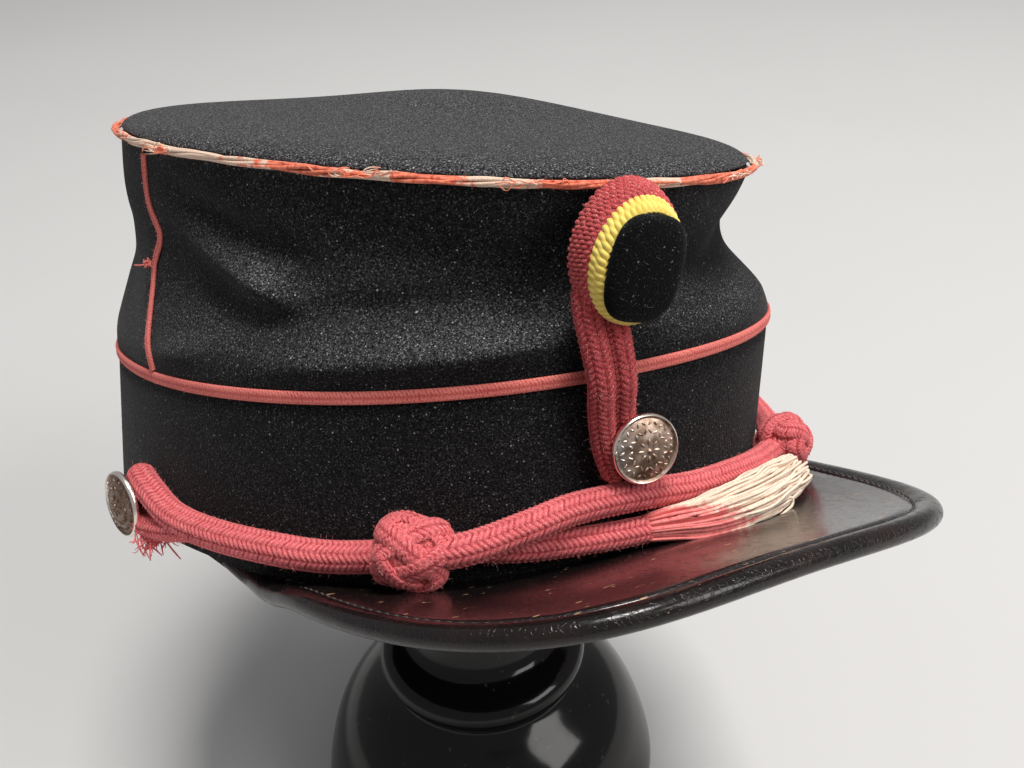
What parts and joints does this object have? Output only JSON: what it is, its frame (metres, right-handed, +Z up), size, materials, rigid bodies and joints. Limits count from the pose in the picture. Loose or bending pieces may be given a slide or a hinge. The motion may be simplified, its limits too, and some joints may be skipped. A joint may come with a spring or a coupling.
{
  "type": "kepi cap on a turned hat stand",
  "caption": "Stiff cloth cap with a sloping round crown, leather peak, wool cockade and chin cord, resting on a turned mushroom stand.",
  "frame": {"origin": "the middle of the underside of the stand's foot", "axes": "+Z up along the stand's axis, -Y the way the cap's peak points, +X the wearer's left"},
  "size_m": [0.1932, 0.2655, 0.2456],
  "materials": {
    "black_felt": "matte napped black wool felt with light lint",
    "red_wool": "matte knitted and plaited red wool",
    "worn_piping": "worn orange-red wool over a cream cord",
    "cream_wool": "matte pale wool strands with red roots",
    "yellow_wool": "matte yellow wool thread, wound",
    "patent_leather": "glossy black patent leather with small nicks",
    "aged_brass": "dark bronze-brown brass, worn bright on the rims",
    "lacquered_wood": "glossy black lacquer"
  },
  "bodies": {
    "root": {"stand": "lacquered_wood", "band": "black_felt", "crown_wall": "black_felt", "crown_top": "black_felt", "top_piping": "worn_piping", "band_braid": "red_wool", "side_braid_right": "red_wool", "side_braid_left": "red_wool", "peak": "patent_leather", "peak_binding": "patent_leather", "chin_cord_right": "red_wool", "chin_cord_front": "red_wool", "chin_cord_left": "red_wool", "cord_tail": "red_wool", "knot_right": "red_wool", "knot_left": "red_wool", "tassel": "cream_wool", "cockade_red": "red_wool", "cockade_yellow": "yellow_wool", "cockade_face": "black_felt", "cockade_loop_right": "red_wool", "cockade_loop_left": "red_wool", "front_button": "aged_brass", "side_button_right": "aged_brass", "side_button_left": "aged_brass"}
  },
  "joints": []
}
